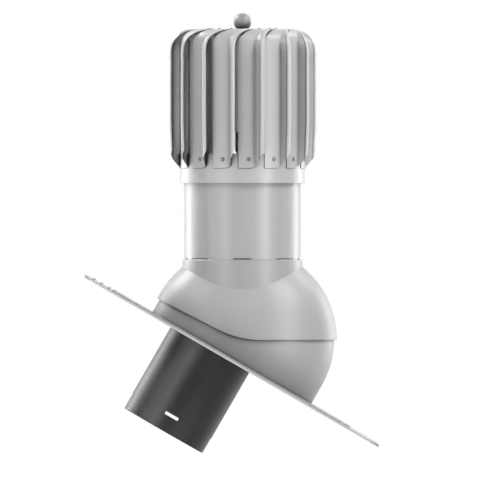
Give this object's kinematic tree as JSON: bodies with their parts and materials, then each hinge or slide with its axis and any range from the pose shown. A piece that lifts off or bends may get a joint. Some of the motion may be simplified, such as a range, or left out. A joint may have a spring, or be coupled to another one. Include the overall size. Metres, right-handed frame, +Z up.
{
  "type": "rotating chimney cowl",
  "caption": "Wind-driven rotating cowl with folded sheet blades on an insulated neck, over a tilting hood and a pitched-roof plate with a duct stub.",
  "frame": {"origin": "where the axis of the duct stub meets the underside of the roof plate", "axes": "+Z up along the rotor's axis, +X horizontally down the slope, +Y across the slope; the plate lies at 30 degrees"},
  "size_m": [0.4047, 0.38, 0.6041],
  "materials": {
    "grey_moulding": "satin light grey moulding",
    "grey_pipe": "satin light grey extruded pipe",
    "black_tube": "black, finely grained",
    "dark_plastic": "dark grey",
    "foam": "pale mineral wool",
    "coated_sheet": "light grey coated sheet",
    "coated_ball": "mid grey, satin",
    "rivets": "plain",
    "turned_aluminium": "turned",
    "zinc_steel": "zinc plated",
    "bearing_steel": "ground and polished",
    "cage_brass": "pressed"
  },
  "bodies": {
    "base": {"roof_base": "grey_moulding", "duct_stub": "black_tube", "stub_screws": "zinc_steel"},
    "neck": {"hood": "grey_moulding", "retaining_saddle": "dark_plastic", "saddle_screws": "zinc_steel", "neck_pipe": "grey_pipe", "inner_pipe": "dark_plastic", "insulation_sleeve": "foam", "neck_cap": "dark_plastic", "lower_spider": "zinc_steel", "upper_spider": "zinc_steel", "lower_spider_rivets": "rivets", "upper_spider_rivets": "rivets", "axle": "zinc_steel", "lower_clamp_nut": "zinc_steel", "upper_clamp_nut": "zinc_steel", "axle_nut": "zinc_steel", "axle_washer": "zinc_steel", "race_spacer": "zinc_steel", "lower_inner_race": "bearing_steel", "upper_inner_race": "bearing_steel"},
    "rotor": {"rotor_ring": "coated_sheet", "top_disc": "coated_sheet", "hub_housing": "turned_aluminium", "circlip": "zinc_steel", "lower_outer_race": "bearing_steel", "upper_outer_race": "bearing_steel", "lower_rivets": "rivets", "upper_rivets": "rivets", "hub_rivets": "rivets", "finial_ball": "coated_ball", "blade_01": "coated_sheet", "blade_02": "coated_sheet", "blade_03": "coated_sheet", "blade_04": "coated_sheet", "blade_05": "coated_sheet", "blade_06": "coated_sheet", "blade_07": "coated_sheet", "blade_08": "coated_sheet", "blade_09": "coated_sheet", "blade_10": "coated_sheet", "blade_11": "coated_sheet", "blade_12": "coated_sheet", "blade_13": "coated_sheet", "blade_14": "coated_sheet", "blade_15": "coated_sheet"},
    "lower_ball_set": {"lower_cage": "cage_brass", "lower_balls": "bearing_steel"},
    "upper_ball_set": {"upper_cage": "cage_brass", "upper_balls": "bearing_steel"}
  },
  "joints": [
    {"name": "pitch_adjust", "type": "hinge", "parent": "base", "child": "neck", "pos_m": [0.04412, 0, 0.01321], "axis": [0, 1, 0], "range_deg": [-3, 25]},
    {"name": "rotor_spin", "type": "hinge", "parent": "neck", "child": "rotor", "pos_m": [0.04412, 0, 0.3], "axis": [0, 0, 1], "continuous": true},
    {"name": "lower_cage_spin", "type": "hinge", "parent": "neck", "child": "lower_ball_set", "pos_m": [0.04412, 0, 0.309], "axis": [0, 0, 1], "continuous": true},
    {"name": "upper_cage_spin", "type": "hinge", "parent": "neck", "child": "upper_ball_set", "pos_m": [0.04412, 0, 0.409], "axis": [0, 0, 1], "continuous": true}
  ],
  "couplings": [
    {"joint": "lower_cage_spin", "follows": "rotor_spin", "ratio": 0.6352},
    {"joint": "upper_cage_spin", "follows": "rotor_spin", "ratio": 0.6352}
  ]
}
